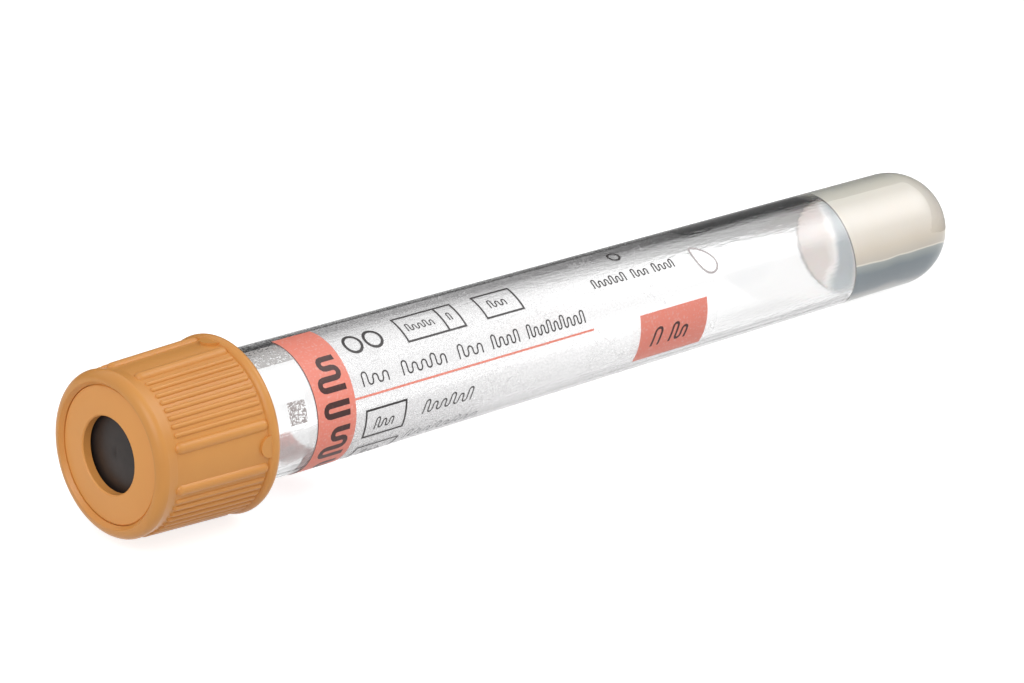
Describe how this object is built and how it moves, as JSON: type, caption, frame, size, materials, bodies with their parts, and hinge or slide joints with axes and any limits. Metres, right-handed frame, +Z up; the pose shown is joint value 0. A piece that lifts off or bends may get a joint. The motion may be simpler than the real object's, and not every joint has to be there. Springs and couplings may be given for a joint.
{
  "type": "blood collection tube",
  "caption": "Clear round-ended collection tube lying at rest, with a ribbed screw cap, pierceable rubber stopper, separator gel and a clear film label.",
  "frame": {"origin": "under the middle of the object's box, on the surface that it lies on", "axes": "+X along the tube from the cap to the round end, +Z up; the tube's axis leans 1.85 degrees down towards +X, as it lies on its cap's flange"},
  "size_m": [0.1078, 0.0172, 0.0172],
  "materials": {
    "tube_clear": "clear moulded polyester, polished",
    "cap_ochre": "moulded, satin sheen",
    "ring_ochre": "moulded, fine matt face",
    "stopper_rubber": "soft satin",
    "gel_cream": "milky, wet-looking",
    "label_film": "clear printed film"
  },
  "bodies": {
    "tube": {"tube": "tube_clear", "separator_gel": "gel_cream", "label": "label_film"},
    "stopper": {"stopper": "stopper_rubber"},
    "cap": {"cap_shell": "cap_ochre", "cap_ring": "ring_ochre"}
  },
  "joints": [
    {"name": "stopper_lift", "type": "slide", "parent": "tube", "child": "stopper", "axis": [-0.9995, 0, 0.0323], "range_m": [0, 0.016]},
    {"name": "cap_twist", "type": "hinge", "parent": "stopper", "child": "cap", "pos_m": [-0.04627, 0, 0.00881], "axis": [-0.9995, 0, 0.0323], "range_deg": [0, 720]}
  ],
  "couplings": [
    {"joint": "cap_twist", "follows": "stopper_lift", "rad_per_m": 785.4}
  ]
}
